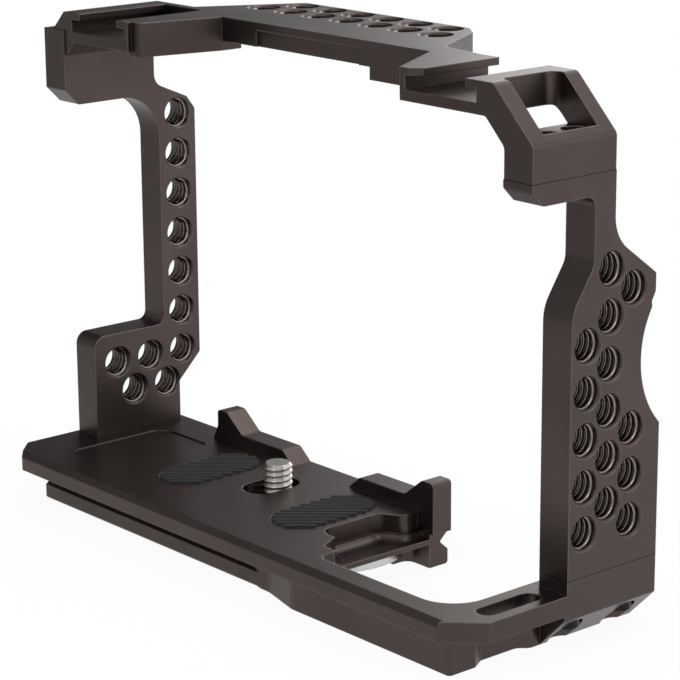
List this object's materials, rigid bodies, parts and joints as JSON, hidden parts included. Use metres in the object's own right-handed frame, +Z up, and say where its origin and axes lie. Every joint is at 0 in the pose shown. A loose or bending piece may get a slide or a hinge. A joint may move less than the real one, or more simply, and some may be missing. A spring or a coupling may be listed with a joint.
{
  "type": "camera cage",
  "caption": "Open metal frame that bolts around a mirrorless camera, with threaded holes, accessory shoes, strap loop, captive base screw and quick-release base.",
  "frame": {"origin": "middle of the outline, on the surface that the base stands on", "axes": "+X to the operator's right, +Y forward to the lens side, +Z up"},
  "size_m": [0.146, 0.059, 0.1072],
  "materials": {
    "anodised": "dark bronze-grey anodised, fine satin",
    "black_screw": "black oxide steel",
    "steel": "bright turned stainless steel",
    "magnet": "nickel plated",
    "nylon": "black nylon",
    "rubber": "ribbed black rubber"
  },
  "bodies": {
    "cage": {"base_plate": "anodised", "right_side_plate": "anodised", "top_frame": "anodised", "arm_screw_rear": "black_screw", "arm_screw_front": "black_screw", "loop_screw_rear": "steel", "loop_screw_front": "steel", "foot_screw_rear": "black_screw", "foot_screw_front": "black_screw", "arm_dowel": "steel", "loop_dowel": "steel", "foot_dowel": "steel", "key_magnet_inner": "magnet", "key_magnet_outer": "magnet", "grip_pad_left": "rubber", "grip_pad_right": "rubber"},
    "screw_carrier": {"screw_washer": "nylon"},
    "tripod_screw": {"camera_screw": "steel", "screw_clip": "steel"},
    "key": {"flat_key": "steel"}
  },
  "joints": [
    {"name": "screw_slide", "type": "slide", "parent": "cage", "child": "screw_carrier", "axis": [0, 1, 0], "range_m": [-0.0045, 0.0006]},
    {"name": "screw_spin", "type": "hinge", "parent": "screw_carrier", "child": "tripod_screw", "pos_m": [-0.0139, -0.00095, 0.006], "axis": [0, 0, 1], "continuous": true},
    {"name": "key_slide", "type": "slide", "parent": "cage", "child": "key", "axis": [1, 0, 0], "range_m": [0, 0.022]}
  ]
}
